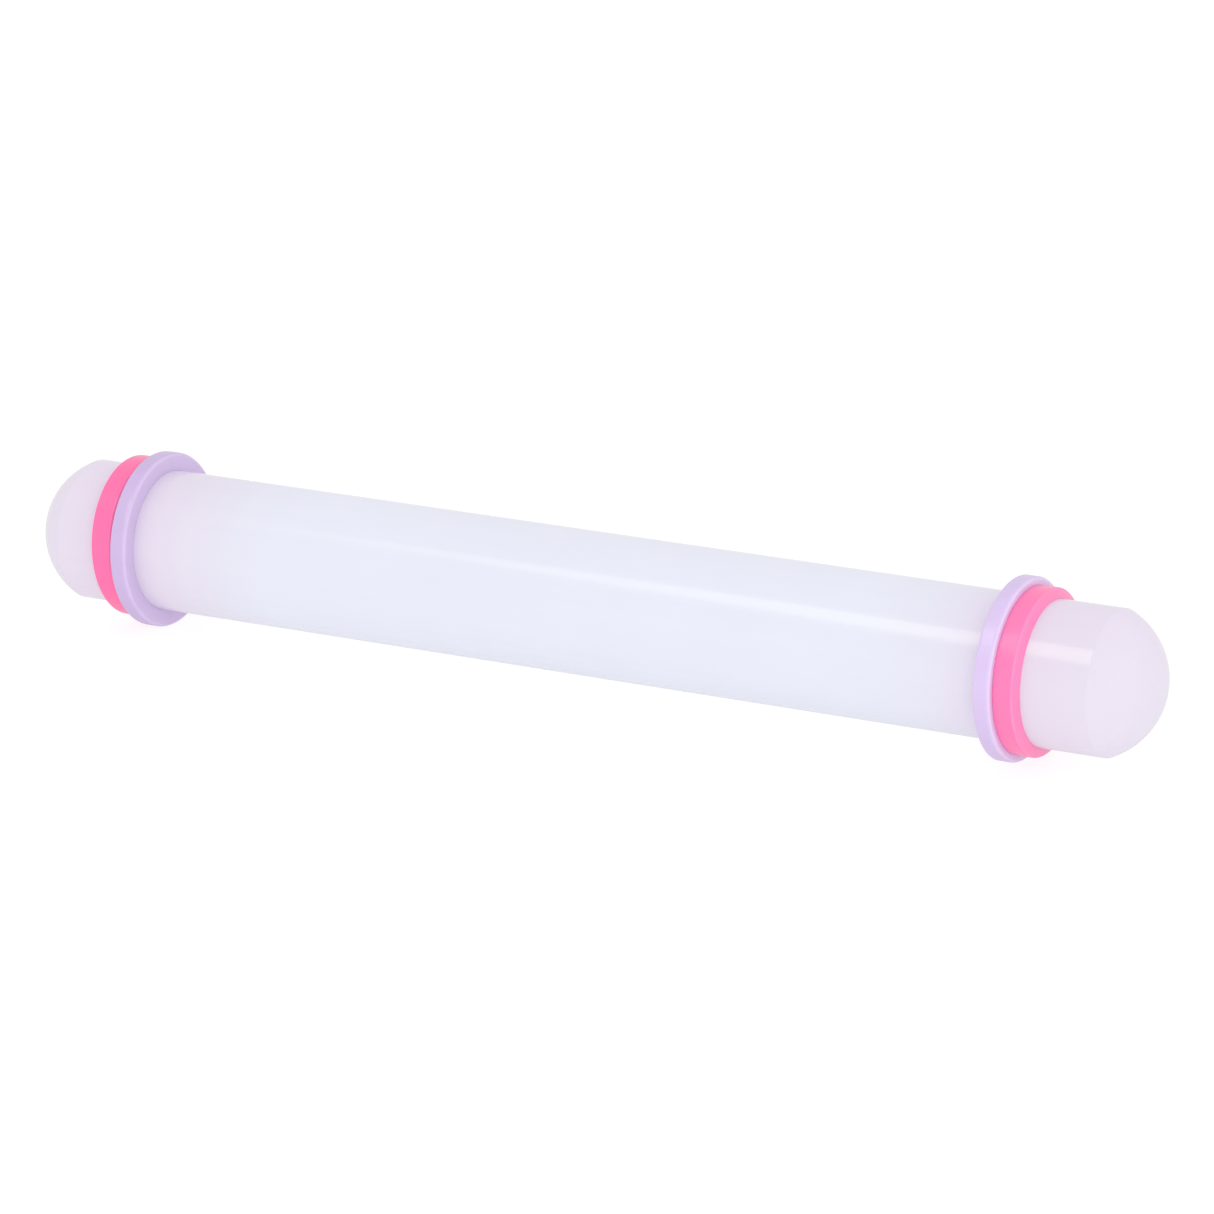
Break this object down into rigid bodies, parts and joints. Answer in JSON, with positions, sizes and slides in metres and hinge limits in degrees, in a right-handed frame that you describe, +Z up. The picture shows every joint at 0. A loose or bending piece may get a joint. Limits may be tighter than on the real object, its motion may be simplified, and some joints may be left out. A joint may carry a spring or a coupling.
{
  "type": "rolling pin",
  "caption": "Small rolling pin for fondant: hollow roller closed by domed caps, with a thick and a thin sliding guide ring near each end.",
  "frame": {"origin": "centre of the pin's length, on the surface that its two thick rings stand on", "axes": "+X along the pin towards the right-hand end of the picture, +Z up, -Y towards the viewer"},
  "size_m": [0.2286, 0.033, 0.0329],
  "materials": {
    "roller": "milky white moulded plastic with a soft gloss",
    "thick_ring": "pale lilac moulded plastic with a satin gloss",
    "thin_ring": "bright pink moulded plastic with a satin gloss"
  },
  "bodies": {
    "roller": {"roller_tube": "roller", "end_cap_left": "roller", "end_cap_right": "roller"},
    "thick_ring_left": {"thick_ring_left": "thick_ring"},
    "thick_ring_right": {"thick_ring_right": "thick_ring"},
    "thin_ring_left": {"thin_ring_left": "thin_ring"},
    "thin_ring_right": {"thin_ring_right": "thin_ring"}
  },
  "joints": [
    {"name": "thick_ring_left_slide", "type": "slide", "parent": "roller", "child": "thick_ring_left", "axis": [-1, 0, 0], "range_m": [-0.0886, 0.028]},
    {"name": "thick_ring_right_slide", "type": "slide", "parent": "roller", "child": "thick_ring_right", "axis": [1, 0, 0], "range_m": [-0.0852, 0.032]},
    {"name": "thin_ring_left_slide", "type": "slide", "parent": "thick_ring_left", "child": "thin_ring_left", "axis": [-1, 0, 0], "range_m": [0, 0.025]},
    {"name": "thin_ring_right_slide", "type": "slide", "parent": "thick_ring_right", "child": "thin_ring_right", "axis": [1, 0, 0], "range_m": [0, 0.028]}
  ]
}
